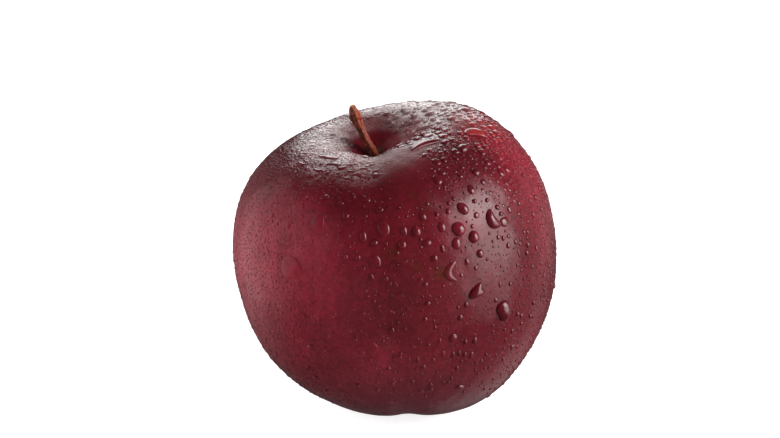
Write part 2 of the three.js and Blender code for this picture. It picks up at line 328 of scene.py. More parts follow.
# Smaller ones on that side, too small for the part: the same numbers without the last two.
SMALL_BEADS = [
    # over the middle of the front
    (61, 17, 2.02, 1.35, 8, 1),
    (65.5, 13.5, 2.24, 1.62, 0, 1),
    (64.5, 9, 2.13, 1.22, 0, 0.9),
    (64.5, -6.5, 2.24, 1.35, 0, 0.8),
    (67, -2.5, 1.34, 1.49, 0, 1),
    (69, 7.5, 1.79, 1.62, 0, 1),
    (70, 16.5, 1.46, 1.76, 0, 1),
    (75.5, 18, 1.46, 1.49, 0, 1),
    (71, -13.5, 1.12, 0.94, 0, 1),
    (71.5, -9, 1.23, 1.08, 0, 1),
    (78.5, -5, 1.46, 0.81, 20, 0.8),
    (80, 0, 1.23, 1.08, 0, 0.9),
    (82, 1, 1.01, 1.08, 0, 0.9),
    (82.5, 3, 1.79, 0.94, 10, 0.9),
    (82, 12, 0.9, 1.08, 0, 0.9),
    (84, 13.5, 1.12, 1.08, 0, 0.9),
    (87, 3.5, 1.46, 2.03, 0, 0.5),
    (91, 13.5, 1.01, 1.22, 0, 0.9),
    (97, 12, 1.01, 1.08, 0, 0.9),
    # over its left
    (50, -23.5, 1.2, 2, 15, 0.5),
    (50.5, -32.5, 0.8, 1.2, 20, 0.6),
    (52.5, -15.5, 1, 1.3, 0, 0.6),
    (57, -13, 1.8, 1.2, 0, 0.6),
    (56, 1, 1.2, 1.6, 15, 0.6),
    (58, -49, 1.2, 1.4, 0, 0.5),
    (92, -15.5, 0.7, 0.7, 0, 0.9),
    (94.5, -16, 0.8, 0.7, 0, 0.9),
    (93, -33, 0.8, 0.8, 0, 0.9),
    (93.5, -27, 1.2, 1.2, 0, 0.5),
    # round the big ones on the right
    (61.5, 22.5, 0.9, 0.8, 0, 1),
    (59.5, 25, 0.8, 0.8, 0, 1),
    (59, 28.5, 1.1, 0.8, 10, 1),
    (58, 31, 1.1, 0.8, 10, 1),
    (61.5, 27, 1.3, 1.1, 0, 1),
    (66, 23, 2.1, 1.5, 0, 0.9),
    (73, 21.5, 1.8, 0.9, 0, 0.9),
    (68.5, 34.5, 1, 0.9, 0, 0.9),
    (65.5, 37.5, 1.4, 1.4, 0, 0.6),
    (68, 53, 1.6, 1.2, 10, 0.7),
    (94.5, 27.5, 1.3, 1, 0, 0.9),
    (91, 42, 1.5, 0.8, 0, 0.7),
    (83, 52.5, 2.2, 0.7, 10, 0.7),
    (99, 25, 1.3, 1.2, 0, 0.8),
    # low on the right
    (108.5, 39, 0.8, 0.8, 0, 0.8),
    (109.5, 45, 0.8, 0.8, 0, 0.8),
    (109.5, 27, 1.2, 1, 0, 0.8),
    (110, 31, 1.6, 1.2, 0, 0.8),
    (107.5, 12.5, 0.8, 0.8, 0, 0.9),
    (113, 18, 1.9, 0.9, 0, 0.7),
    (114, 22, 1.5, 0.9, 0, 0.8),
    (114, 24.5, 1.5, 0.8, 0, 0.8),
    (115, 27, 1.2, 0.9, 0, 0.8),
    (116, 30, 1.8, 1, 0, 0.8),
    (117.5, 37, 0.8, 0.8, 0, 0.9),
    (114.5, 14, 1, 0.8, 0, 0.9),
    (119, 52, 1.4, 1.6, 0, 0.6),
    (123, 48, 1, 1.2, 0, 0.6),
    (120.5, 24, 1.2, 0.9, 0, 0.9),
    (128, 13, 2.3, 1.1, 5, 0.9),
    (126.5, 18.5, 0.7, 0.7, 0, 0.9),
    (130.5, 27, 1, 2, 0, 0.7),
    (134.5, 30.5, 0.8, 0.8, 0, 0.8),
    # low in front and on the left
    (100, -0.5, 1.5, 1.2, 0, 0.9),
    (99, -12, 0.9, 0.8, 0, 0.8),
    (102.5, -14.5, 1.1, 0.9, 0, 0.8),
    (102, -37, 0.7, 0.7, 0, 0.8),
    (106, -22.5, 0.8, 1, 0, 0.8),
    (110.5, 1.5, 0.9, 0.9, 0, 0.9),
    (113.5, 4.5, 1.3, 0.6, 0, 0.8),
    (114, 8, 2, 0.7, 0, 0.9),
    (117, 10, 1.1, 1, 0, 0.9),
    (111.5, -14, 0.9, 0.8, 0, 0.8),
    (111.5, -10.5, 0.9, 0.8, 0, 0.8),
    (115.5, -19, 1.3, 1.5, 0, 0.7),
    (116.5, -4, 1, 1, 0, 0.8),
    (118.5, -2, 0.7, 0.7, 0, 0.8),
    (116, -40, 1, 1.2, 0, 0.7),
    (121, -39, 1.3, 1.6, 0, 0.7),
    (124, -19.5, 1.3, 1.6, 0, 0.8),
    (124.5, -4, 0.9, 1.1, 0, 0.8),
    (123.5, 0, 1.2, 0.6, 0, 0.8),
    (124.5, 5, 1.4, 0.9, 0, 0.9),
    (130, 8.5, 0.9, 1.4, 0, 0.8),
    (133.5, 10.5, 0.9, 0.8, 0, 0.8),
    (127, -11.5, 0.8, 1.3, 0, 0.8),
    (129, -39, 0.9, 1.3, 0, 0.6),
    # on the slope right of the cavity
    (15.5, 138.5, 1.6, 1.1, -48, 0.9),
    (18.5, 131, 1.9, 1.1, -41, 0.8),
    (13.5, 149.5, 1.8, 1.4, -60, 0.8),
    (14, 115.5, 1.6, 1.3, -26, 0.9),
    (16, 105.5, 2.1, 1.3, -16, 0.9),
    (20, 78, 1.6, 1.4, 12, 1),
    (22.5, 77, 2.1, 1.3, 13, 0.8),
    (24, 88, 1.5, 1.2, 2, 1),
    (17.5, 73, 2.4, 1.4, 17, 0.9),
    (23.5, 59.5, 1.5, 1.3, 30, 1),
    (14.5, 95, 1.8, 1.2, -5, 0.8),
    (11.5, 116, 1.9, 1.1, -26, 1),
    (18.5, 96.5, 2.2, 1.1, -6, 0.9),
    (23, 102, 2, 1.4, -12, 1),
    (22.5, 112.5, 1.6, 1.2, -22, 0.9),
    (27.5, 70.5, 1.8, 1.1, 20, 0.9),
    (16.5, 158.5, 1.6, 1.3, -68, 0.8),
    (19, 138.5, 1.4, 1.3, -48, 0.9),
    (12.5, 137, 1.9, 1.3, -47, 1),
    (18.5, 112.5, 1.8, 1.4, -22, 0.8),
]
# Streaks of water: on the slope right of the cavity's near lip, along the crack and between the wrinkles.
STREAKS = [
    (31, 40, 7.4, 1.9, 87, 0.7, -0.4, 0.2),
    (30.4, -36, 5.6, 1.1, 86, 0.7, 0.4, 0),
    (34.6, -26, 3, 0.9, 80, 0.8, -0.5, 0.1),
    (36.5, -50, 2.6, 0.8, 84, 0.7, 0.5, 0),
    (40.5, -9, 2.6, 0.9, 75, 0.7, -0.8, 0.2),
    (13.8, -115, 1.8, 1.2, 20, 0.9, 0.5, 0.2),
    (37, -19, 2.2, 0.8, 95, 0.7, 0.5, 0),
    (38.5, -34, 2.6, 0.8, 84, 0.6, 0.6, 0.1),
    (39, -13, 1.9, 0.7, 78, 0.8, 0.6, 0.1),
    (36.8, -6, 1.5, 0.7, 95, 0.8, -0.5, 0),
    (41.8, -5.5, 1.7, 0.7, 70, 0.7, -0.7, 0.1),
    (38.8, 1.5, 1.6, 0.7, 100, 0.7, 0.5, 0),
    (35, -14.5, 1.4, 0.7, 84, 0.8, -0.6, 0),
    (42.5, -14, 1.5, 0.7, 96, 0.7, 0.7, 0),
    (34.3, -1, 1.3, 0.6, 88, 0.8, 0.4, 0),
]
NO_BEND = (0.0, 0.1)  # a small bead's last two numbers
# The part's draw of beads on the far side, in millimetres and radians.
DRAWN_BEADS = {
    "count": 56,
    "seed": 20,
    "narrowest": 1.6,
    "widest": 3.6,
    "few_wide": 2.5,
    "longest": 1.5,
    "few_long": 2,
    "most_turn": math.radians(20),
    "fullness": 0.85,
    "highest_polar": math.radians(34),
    "lowest_polar": math.radians(138),
    "front": (math.radians(73), 0.0),
    "from_front": math.radians(112),
    "gap": 1.25,
}
BEAD_HEIGHT = {"share": 0.36, "highest": 1.2 * MM}  # a share of its width, up to a limit
# Showers of drops, which thin out from their middle: its polar angle and spread, its azimuth and spread,
# in degrees, how many drops, the narrowest and widest in millimetres, how long at most as a share of the
# width, how full, and the gap between them as a share of their size.
SHOWERS = [
    # lenses on the right shoulder
    (38, 9, 70, 28, 260, 0.9, 2.1, 1.3, 0.5, 1.02),
    (36, 10, 165, 50, 100, 0.9, 2.2, 1.2, 0.12, 1.05),
    (37, 12, 70, 30, 900, 0.4, 1, 1.4, 0.4, 1),
    # the right cheek
    (68, 16, 68, 14, 260, 0.5, 1.2, 1.3, 0.8, 1.1),
    (80, 24, 92, 12, 1700, 0.28, 0.6, 1.6, 0.9, 1),
    (82, 22, 62, 14, 300, 0.25, 0.55, 1.4, 0.6, 1.2),
    (57, 12, 34, 12, 70, 0.45, 1, 1.4, 0.8, 1.2),
    # dew on the left shoulder and behind the cavity
    (27, 9, -80, 50, 1700, 0.4, 1, 1.6, 0.34, 0.95),
    (35, 6, -20, 22, 240, 0.35, 0.75, 1.8, 0.28, 1),
    (22, 10, 165, 60, 2400, 0.35, 0.8, 1.3, 0.11, 0.95),
    # specks on the left cheek
    (74, 22, -60, 20, 2700, 0.3, 0.8, 1.8, 0.5, 1.1),
    # the front, from the middle down
    (75, 20, 5, 20, 40, 0.4, 0.8, 1.8, 0.8, 1.5),
    (114, 13, 5, 40, 60, 0.4, 0.8, 1.8, 0.8, 1.4),
    (100, 20, 0, 45, 450, 0.25, 0.45, 1.3, 0.8, 1.3),
    (112, 14, 62, 12, 200, 0.4, 1, 1.4, 0.6, 1.2),
    # the far side
    (78, 26, 150, 26, 800, 0.4, 1.3, 1.4, 0.8, 1.15),
    (78, 26, -155, 22, 800, 0.4, 1.3, 1.4, 0.8, 1.15),
    (85, 34, 180, 50, 2600, 0.25, 0.5, 1.3, 0.8, 1.1),
]
# Spots that the showers leave bare, below the cavity's near lip: polar angle, azimuth, reach, in degrees.
DRY_SPOTS = [(34, 14, 9), (45, 15, 10)]
# How high and low drops go, in degrees, and how they vary.
SHOWER_HABITS = {
    "highest_polar": 9,
    "lower_for_width": 4,  # degrees a millimetre
    "lowest_polar": 148,
    "few_wide": 1.6,
    "few_long": 2,
    "turns": 10,
    "fullness": (0.75, 1.2),
    "tapers": (-0.1, 0.25),
    "bends": 0.1,
    "tries": 3,  # for each drop
}


def chances(seed):
    """The part's own repeatable run of numbers between 0 and 1."""
    state = seed
    while True:
        state = (state * 48271) % 2147483647
        yield state / 2147483647


def drawn_beads():
    """The part's own beads on the far side."""
    its = DRAWN_BEADS
    run = chances(its["seed"])
    front = direction(*(np.array(a) for a in its["front"]))
    low, high = math.cos(its["lowest_polar"]), math.cos(its["highest_polar"])
    beads, points = [], []
    while len(beads) < its["count"]:
        polar = math.acos(lerp(low, high, next(run)))
        azimuth = lerp(-math.pi, math.pi, next(run))
        width = lerp(its["narrowest"], its["widest"], next(run) ** its["few_wide"])
        length = width * lerp(1, its["longest"], next(run) ** its["few_long"])
        turn = lerp(-its["most_turn"], its["most_turn"], next(run))
        place = np.array(polar), np.array(azimuth)
        point = plain_point(*place)
        hidden = np.arccos(direction(*place) @ front) > its["from_front"]
        clear = all(
            np.linalg.norm(point - other) > its["gap"] * (length + bead[2]) / 2 * MM
            for other, bead in zip(points, beads)
        )
        if hidden and clear:
            angles = math.degrees(polar), math.degrees(azimuth)
            beads.append((*angles, length, width, math.degrees(turn), its["fullness"], *NO_BEND))
            points.append(point)
    return beads


class Clearance:
    """The drops so far, kept in cells, to tell whether there is room for another."""

    CELL = 3.0  # millimetres

    def __init__(self):
        self.cells = {}

    def key(self, point):
        return tuple(int(c // self.CELL) for c in point)

    def add(self, point, size):
        self.cells.setdefault(self.key(point), []).append((point, size))

    def has_room(self, point, size, gap):
        near = itertools.product(*((c - 1, c, c + 1) for c in self.key(point)))
        others = (drop for cell in near for drop in self.cells.get(cell, ()))
        return all(math.dist(point, other) >= gap * (size + its_size) / 2 for other, its_size in others)


def showered(before, rng):
    """Drops drawn at random for every shower, clear of the beads before them."""
    clearance = Clearance()
    before = np.array(before)
    for point, bead in zip(skin_point(*np.radians(before[:, :2].T)) / MM, before):
        clearance.add(point, (bead[2] + bead[3]) / 2)
    drops = []
    habits = SHOWER_HABITS
    for *middles, count, narrowest, widest, longest, fullness, gap in SHOWERS:
        polar, polar_spread, azimuth, azimuth_spread = middles
        tries = habits["tries"] * count
        polars = rng.normal(polar, polar_spread, tries)
        azimuths = rng.normal(azimuth, azimuth_spread, tries)
        widths = lerp(narrowest, widest, rng.random(tries) ** habits["few_wide"])
        lengths = widths * lerp(1, longest, rng.random(tries) ** habits["few_long"])
        turns = rng.normal(0, habits["turns"], tries)
        fulls = fullness * rng.uniform(*habits["fullness"], tries)
        tapers = rng.uniform(*habits["tapers"], tries)
        bends = rng.normal(0, habits["bends"], tries)
        ways = direction(np.radians(polars), np.radians(azimuths))
        wet = np.ones(tries, bool)
        for spot_polar, spot_azimuth, reach in DRY_SPOTS:
            middle = direction(np.radians(spot_polar), np.radians(spot_azimuth))
            wet &= np.degrees(np.arccos(ways @ middle)) > reach * (1 + tapers)  # a ragged edge
        wet &= polars > habits["highest_polar"] + habits["lower_for_width"] * widths
        wet &= polars < habits["lowest_polar"]
        points = skin_point(np.radians(polars), np.radians(azimuths)) / MM
        sizes = (lengths + widths) / 2
        kept = []
        for i in np.flatnonzero(wet):
            if len(kept) < count and clearance.has_room(points[i], sizes[i], gap):
                clearance.add(points[i], sizes[i])
                kept.append(i)
        drawn = np.column_stack([polars, azimuths, lengths, widths, turns, fulls, bends, tapers])
        drops.append(drawn[kept])
    return np.concatenate(drops)


def bead_shapes(beads, rng, rings, sides, unevenness, sag, root):
    """Low closed domes that follow the skin, all with as many rings and sides: their points and faces."""
    beads = np.asarray(beads, float)
    count = len(beads)
    polar, azimuth, turn = np.radians(beads[:, [0, 1, 4]].T)
    length, width, fullness, bend, taper = (beads[:, k, None, None] for k in (2, 3, 5, 6, 7))
    length, width = length * MM, width * MM
    point, down, round_, out = skin_frames(polar, azimuth)
    along = down * np.cos(turn)[:, None] + round_ * np.sin(turn)[:, None]
    across = np.cross(out, along)
    height = fullness * np.minimum(BEAD_HEIGHT["share"] * width, BEAD_HEIGHT["highest"])

    angle = np.arange(sides) * 2 * math.pi / sides
    edge = np.ones((count, sides))
    for lobes in (2, 3, 4, 5):
        size = unevenness * rng.normal(size=(count, 1)) / lobes
        edge += size * np.cos(lobes * angle + rng.uniform(0, 2 * math.pi, (count, 1)))
    ring = np.sin(np.linspace(0, math.pi / 2, rings + 1)[1:])  # closer together at the edge
    u = ring[:, None] * (edge * np.cos(angle))[:, None]
    v = ring[:, None] * (edge * np.sin(angle))[:, None]
    v = v * (1 + taper * u + np.abs(bend) * u**2) + 2 * bend * u**2
    rise = np.sqrt(np.clip(1 - ring**2, 0, 1))[:, None] * (1 + sag * ring[:, None] * np.cos(angle))
    aside = (
        (0.5 * length * u)[..., None] * along[:, None, None]
        + (0.5 * width * v)[..., None] * across[:, None, None]
    )
    foot = skin_below(point[:, None, None] + aside)
    dome = foot + out[:, None, None] * (height * rise)[..., None]
    dome[:, -1] -= out[:, None] * root  # the rim, just below the skin
    middle = skin_below(point)
    top, bottom = middle + out * height[:, 0], middle - out * root
    points = np.concatenate([top[:, None], dome.reshape(count, -1, 3), bottom[:, None]], axis=1)

    side = np.arange(sides)
    after = (side + 1) % sides
    rim = 1 + (rings - 1) * sides
    last = rim + sides
    triangles = [(0, 1 + a, 1 + b) for a, b in zip(side, after)]
    triangles += [(last, rim + b, rim + a) for a, b in zip(side, after)]
    quads = [
        (near + a, near + sides + a, near + sides + b, near + b)
        for near in range(1, rim, sides)
        for a, b in zip(side, after)
    ]
    shift = (np.arange(count) * points.shape[1])[:, None, None]
    faces = []
    for some in (triangles, quads):
        faces += (np.array(some)[None] + shift).reshape(-1, len(some[0])).tolist()
    return points.reshape(-1, 3), faces


def beads_object(name, beads, material, rng, shape):
    points, faces = bead_shapes(beads, rng, **shape)
    return mesh_object(name, points, faces, material)


# ---- The stalk ----

STALK = {
    # heights along it and radii in millimetres, from its foot to the swollen tip
    "stations": [
        (0, 0.95), (1.7, 0.95), (2.8, 0.86), (5.0, 0.76), (8.0, 0.8), (9.4, 1.0),
        (10.3, 1.15), (11.2, 1.02), (11.9, 0.78), (12.5, 0.66), (12.9, 0.35),
    ],
    "root": 1.7 * MM,
    "lean": math.radians(25),
    "bow": -0.45 * MM,
    "tip_dent": 0.12,
}
STALK_GRID = {"along": 110, "around": 48, "closer_at_tip": 1.25}
# Ridges along the stalk: how many go round, their depth as a share of the radius, and their twist from
# foot to tip.
STALK_RIDGES = [(5, 0.07, 0.5), (8, 0.04, -0.7), (13, 0.02, 1.1)]
# Knobs near the tip and bud scars: the height along it, the side they are on, their spread along it and
# how far they stand out.
STALK_KNOBS = [
    (10.6, 190, 0.5, 0.24),
    (9.6, 10, 0.7, 0.14),
    (12.3, 160, 0.3, 0.12),
    (11.3, 265, 0.35, 0.2),
    (10.2, 300, 0.4, 0.16),
    (8.6, 190, 0.5, 0.08),
    (3.3, 60, 0.6, 0.08),
]
KNOB_BREADTH = 0.8  # radians round the stalk
STALK_ROUGHNESS = {
    "seed": 11,
    "waves": 24,
    "height": 0.012,
    "shortest": 0.7,
    "longest": 4.8,
    "most_round": 6,
    "at_tip": 1.5,
    "tip": (9, 12),
}


def stalk_frame():
    """The stalk's foot, the way along it and the two ways across it."""
    s, c = math.sin(STALK["lean"]), math.cos(STALK["lean"])
    along, across = np.array([-s, 0, c]), np.array([c, 0, s])
    foot = plain_point(np.array(0.0), np.array(0.0)) - STALK["root"] * along
    return foot, along, across, np.array([0.0, 1.0, 0.0])


def stalk_mesh(material):
    heights, radii = np.array(STALK["stations"]).T
    tip = heights[-1]
    share = np.linspace(0, 1, STALK_GRID["along"])
    height = tip * (1 - (1 - share) ** STALK_GRID["closer_at_tip"])
    radius = np.interp(height, heights, radii)
    radius[1:-1] = (radius[:-2] + 2 * radius[1:-1] + radius[2:]) / 4  # softened
    turn = np.arange(STALK_GRID["around"]) * 2 * math.pi / STALK_GRID["around"]
    h, t = np.meshgrid(height, turn, indexing="ij")
    relief = np.ones_like(h)
    for count, depth, twist in STALK_RIDGES:
        relief += depth * np.cos(count * (t + twist * h / tip) + count)
    for middle, side, spread, out in STALK_KNOBS:
        away = np.abs((t - math.radians(side) + math.pi) % (2 * math.pi) - math.pi)
        relief += out * fade(h - middle, spread) * fade(away, KNOB_BREADTH)
    rough = STALK_ROUGHNESS
    rng = np.random.default_rng(rough["seed"])
    rougher = 1 + rough["at_tip"] * smoothstep(h, *rough["tip"])
    for _ in range(rough["waves"]):
        length = lerp(rough["shortest"], rough["longest"], rng.random())
        lobes = rng.integers(0, rough["most_round"] + 1)
        phase = rng.uniform(0, 2 * math.pi)
        relief += rough["height"] * rougher * np.sin(2 * math.pi * h / length + lobes * t + phase)
    r = radius[:, None] * relief * MM
    foot, along, across, aside = stalk_frame()
    part = h / tip
    bow = STALK["bow"] * 4 * part * (1 - part)
    points = (
        foot
        + (h * MM)[..., None] * along
        + (r * np.cos(t) + bow)[..., None] * across
        + (r * np.sin(t))[..., None] * aside
    )
    middles = foot + np.array([[0.0], [tip - STALK["tip_dent"]]]) * MM * along
    faces = ring_faces(*h.shape, turned=True)
    return mesh_object("stalk_wood", np.concatenate([middles, points.reshape(-1, 3)]), faces, material)


# ---- Materials ----

# Fractal noises: waves a millimetre, detail, stretch along x, y and z, and distortion. Then, where a noise
# becomes a share, a factor or a roughness, from which range of it and to which.
EVEN = (1, 1, 1)
NOISES = {
    "mottle": (0.07, 4, EVEN, 0.6, (0.3, 0.7, 0.25, 0.85)),
    "cheek_streaks": (0.3, 4, (1, 1, 0.28), 0),
    "clouds": (0.16, 5, EVEN, 0.8, (0.46, 0.66, 0.0, 0.28)),
    "grain": (1.1, 4, EVEN, 0, (0.25, 0.75, 0.82, 1.18)),
    "bloom_and_sheen_streaks": (0.4, 4, (1, 1, 0.4), 0),
    "ripples": (1.5, 3, (0.45, 1.2, 1.2), 0.8, (0.44, 0.60, 0.0, 1.0)),
    "pores": (2.4, 3, EVEN, 0),
    "wrinkles": (0.55, 4, EVEN, 1.0),
    "puckers": (0.9, 4, EVEN, 1.2),
    "mist": (1.7, 4, EVEN, 0),
    "gloss": (0.25, 3, EVEN, 0, (0.3, 0.7, 0.21, 0.28)),
    "bark_streaks": (1.6, 4, (1, 1, 0.22), 0.4),
    "worn_bark": (2.4, 3, (1, 1, 0.4), 0, (0.55, 0.70, 0.0, 0.65)),
    "bark_cracks": (1.9, 5, (1, 1, 0.16), 0.8, (0.34, 0.40, 1.0, 0.0)),
}
# Fine relief: its height in millimetres and its strength.
RELIEFS = {
    "pores": (0.045, 0.5),
    "wrinkles": (0.10, 0.6),
    "puckers": (0.35, 0.7),
    "mist": (0.16, 0.7),
    "bark": (0.15, 0.9),
}
SKIN_IOR, WATER_IOR, BARK_IOR = 1.45, 1.333, 1.45
SKIN_GLOSS, BARK_GLOSS = 0.2, 0.25
BARK_ROUGHNESS = 0.55


class Tree:
    """A material's nodes, added one call at a time."""

    def __init__(self, name):
        self.material = bpy.data.materials.new(name)
        self.material.use_nodes = True
        self.nodes = self.material.node_tree.nodes
        self.shader = self.nodes["Principled BSDF"]
        place = self.nodes.new("ShaderNodeTexCoord").outputs["Object"]
        self.mm = self.add("ShaderNodeVectorMath", 0, [place], operation="SCALE", Scale=1 / MM)

    def link(self, value, socket):
        if isinstance(value, bpy.types.NodeSocket):
            self.material.node_tree.links.new(value, socket)
        else:
            socket.default_value = value

    def add(self, kind, output, inputs=(), operation=None, **named):
        """Adds a node and gives one of its outputs."""
        node = self.nodes.new(kind)
        if operation:
            node.operation = operation
        for socket, value in zip(node.inputs, inputs):
            self.link(value, socket)
        for name, value in named.items():
            self.link(value, node.inputs[name.replace("_", " ")])
        return node.outputs[output]

    def math(self, operation, *values):
        return self.add("ShaderNodeMath", 0, values, operation=operation)

    def noise(self, name):
        """One of the noises: in its own range, or from about 0.2 to 0.8 where it has none."""
        scale, detail, stretch, distortion, *ranges = NOISES[name]
        place = self.mm
        if stretch != EVEN:
            place = self.add("ShaderNodeVectorMath", 0, [place, stretch], operation="MULTIPLY")
        noise = self.add(
            "ShaderNodeTexNoise", "Fac", Vector=place, Scale=scale, Detail=detail, Distortion=distortion
        )
        return self.ranged(noise, *ranges[0]) if ranges else noise

    def ranged(self, value, low, high, to_low=0.0, to_high=1.0):
        """The value's way from low to high, as a smooth way from one number to another."""
        node = self.nodes.new("ShaderNodeMapRange")
        node.interpolation_type = "SMOOTHSTEP"
        for socket, number in zip(node.inputs, (value, low, high, to_low, to_high)):
            self.link(number, socket)
        return node.outputs[0]

    def mix(self, share, a, b):
        """Colour a with a share of colour b."""
        node = self.nodes.new("ShaderNodeMix")
        node.data_type = "RGBA"
        for number, value in ((0, share), (6, a), (7, b)):
            self.link(value, node.inputs[number])
        return node.outputs[2]

    def scaled(self, colour, factor):
        return self.add("ShaderNodeVectorMath", 0, [colour], operation="SCALE", Scale=factor)

    def distance(self, spot):
        """How far the surface is from a spot, in millimetres."""
        return self.add("ShaderNodeVectorMath", "Value", [self.mm, tuple(spot / MM)], operation="DISTANCE")

    def patch(self, polar, azimuth, inner, outer):
        """1 round a spot of the skin, fading to 0 between two distances in millimetres."""
        return self.ranged(self.distance(skin_spot(polar, azimuth)), inner, outer, 1.0, 0.0)

    def patched(self, colour, patches, over):
        """The colour with another over it in patches, each with how much of it there is at most."""
        for *spot, most in patches:
            colour = self.mix(self.math("MULTIPLY", self.patch(*spot), most), colour, over)
        return colour

    def relief(self, name, height, normal=None):
        distance, strength = RELIEFS[name]
        node = self.nodes.new("ShaderNodeBump")
        node.inputs["Strength"].default_value = strength
        node.inputs["Distance"].default_value = distance * MM
        self.link(height, node.inputs["Height"])
        if normal:
            self.link(normal, node.inputs["Normal"])
        return node.outputs[0]

    def finish(self, roughness, ior, **linked):
        self.link(roughness, self.shader.inputs["Roughness"])
        self.shader.inputs["IOR"].default_value = ior
        for name, value in linked.items():
            self.link(value, self.shader.inputs[name.replace("_", " ")])
        return self.material


RIPE = (0.088, 0.006, 0.010, 1)
DEEP = (0.050, 0.0034, 0.006, 1)
# Redder skin, partly painted light.
RED = (0.185, 0.0118, 0.0238, 1)
# Painted shade towards the bottom.
BOTTOM_SHADE = (0.045, 0.010, 0.014, 1)
PALE_SPECK = (0.22, 0.045, 0.045, 1)
DARK_SPECK = (0.035, 0.004, 0.004, 1)
# Dark brown: the blossom end's scar, and painted shade round the stalk's foot.
SCAR_AND_SHADE = (0.06, 0.02, 0.012, 1)
LIT_DEW = (0.19, 0.017, 0.018, 1)
# Pale bloom, partly a painted sheen.
BLOOM_AND_SHEEN = (0.34, 0.27, 0.265, 1)
# Pale dust, partly a painted sheen.
DUST_AND_SHEEN = (0.46, 0.17, 0.185, 1)
BROWN = (0.045, 0.009, 0.004, 1)
# Patches of the skin, here and below: the middle's polar angle and azimuth in degrees, the two distances in
# millimetres between which the patch fades and, in most, how much of its colour it has at most.
# Where the skin is redder: partly its own colour, partly painted light on the left cheek and right
# shoulder:
REDDER_AND_LIT_CHEEKS = [
    (73, -50, 6, 30, 0.95),
    (56, 78, 2, 20, 0.5),
    (78, 85, 2, 18, 0.2),
    (88, 67, 1, 9, 0.45),
    (66, 31, 1, 9, 0.3),
    (118, -11, 2, 12, 0.35),
    (61, -28, 1, 9, 0.25),
    (14, 80, 1, 8, 0.6),
]
# Where it is darker, between the cheeks, under the shoulders and low down on the right: painted shade,
# partly darker skin:
DARKER_AND_SHADED_PATCHES = [
    (49, -7, 3, 12, 0.85),
    (92, 62, 1, 7, 0.25),
    (40, -34, 3, 8, 0.7),
    (50, 33, 3, 12, 0.6),
    (94, 9, 2, 9, 0.35),
    (90, 53, 2, 9, 0.4),
    (40, -86, 5, 17, 0.8),
    (44, -59, 2, 11, 0.5),
    (99, 88, 3, 17, 0.8),
    (95, 46, 7, 20, 0.8),
    (110, 45, 3, 14, 0.5),
    (66, 53, 2, 11, 0.35),
    (44, 51, 3, 10, 0.95),
    (96, -44, 3, 16, 0.35),
    (108, -62, 3, 15, 0.5),
]
# Painted shade low down, round the blossom end.
SHADED_END = (168, 0, 14, 36, 0.65)
BLOTCHES = [
    (53, 15.5, 0.3, 1.4, 0.45),
    (58, 20, 0.3, 1.6, 0.45),
    (77.5, 11.5, 0.4, 1.9, 0.45),
    (81, 19.5, 0.2, 2.6, 0.7),
    (71, 3, 0.3, 2.2, 0.45),
]
# Pale bloom with a painted sheen round the cavity and on the right cheek, the cavity that it leaves bare,
# and its ripples:
BLOOM_AND_SHEEN_PATCHES = [
    (17, -100, 0, 11, 1.0),
    (25, -21, 1, 7, 0.55),
    (23, 125, 0, 14, 0.72),
    (28, 90, 0, 9, 0.45),
    (16, 82, 0, 8, 0.25),
    (38, -6, 1, 7, 0.06),
    (84, 90, 3, 15, 0.09),
]
CAVITY_PATCH = (0, 0, 4.5, 8)
# Ripples of pale bloom, partly a painted sheen:
RIPPLED_PATCHES = [
    (35, -9, 2.5, 7.5, 0.40),
    (37, -32, 1, 6, 0.32),
    (31, 16, 1, 6, 0.14),
]
# The left cheek's pale dust and painted sheen.
DUST_AND_SHEEN_PATCH = (82, -88, 6, 30)
LIT_PATCH = (42, 78, 2, 11, 0.7)  # where the light shines through the drops of the right shoulder
# The ring round the stalk's foot is painted shade in the cavity; the one at the blossom end is its scar.
SCARS_AND_FOOT_SHADE = [(0, 0, 1.2, 2.6), (180, 0, 0.5, 1.6)]  # round the stalk's foot and at the blossom end
PUCKERED_PATCHES = [(27, -65, 7, 15), (38, -7, 2, 8)]
MISTY_PATCH = (33, 13, 3, 11)  # rougher, under fine mist
DULL_DEW_PATCH = (28, 62, 6, 20)  # duller water
# How streaky the patches are: the range of the streaks' noise, and the least and most of a patch's colour.
STREAKY = {
    "cheeks": (0.2, 0.75, 0.6, 1.0),
    "bloom_and_sheen": (0.25, 0.7, 0.3, 1.0),
    "dust_and_sheen": (0.2, 0.75, 0.18, 0.32),
}
# Specks: cells a millimetre, the radius in cells, the share of cells that have one, how strong, the colour.
SPECKS = [(0.62, 0.16, 0.45, 0.5, PALE_SPECK), (0.9, 0.2, 0.4, 0.7, DARK_SPECK)]
MIST_ROUGHNESS = 0.25  # more than the skin's own
# Water on the skin, which deepens the colour under it and hides some of the bloom and its painted sheen.
WATER = {"deepens": 0.95, "bloom_and_sheen": 0.6, "roughness": 0.19, "dull_roughness": 0.25}


def streaky(tree, streaks, kind, most):
    """How much of a patch's colour its streaks show."""
    low, high, least_share, most_share = STREAKY[kind]
    return tree.ranged(streaks, low, high, least_share * most, most_share * most)


def skin_colour(tree):
    """Mottled dark red: redder on the cheeks, partly painted light; darker between them and below, painted
    shade; with brown blotches.
    """
    colour = tree.mix(tree.noise("mottle"), DEEP, RIPE)
    streaks = tree.noise("cheek_streaks")
    for *spot, most in REDDER_AND_LIT_CHEEKS:
        share = tree.math("MULTIPLY", tree.patch(*spot), streaky(tree, streaks, "cheeks", most))
        colour = tree.mix(share, colour, RED)
    colour = tree.mix(tree.noise("clouds"), colour, DEEP)
    colour = tree.patched(colour, DARKER_AND_SHADED_PATCHES, DEEP)
    colour = tree.patched(colour, [SHADED_END], BOTTOM_SHADE)
    colour = tree.patched(colour, BLOTCHES, BROWN)
    return tree.scaled(colour, tree.noise("grain"))


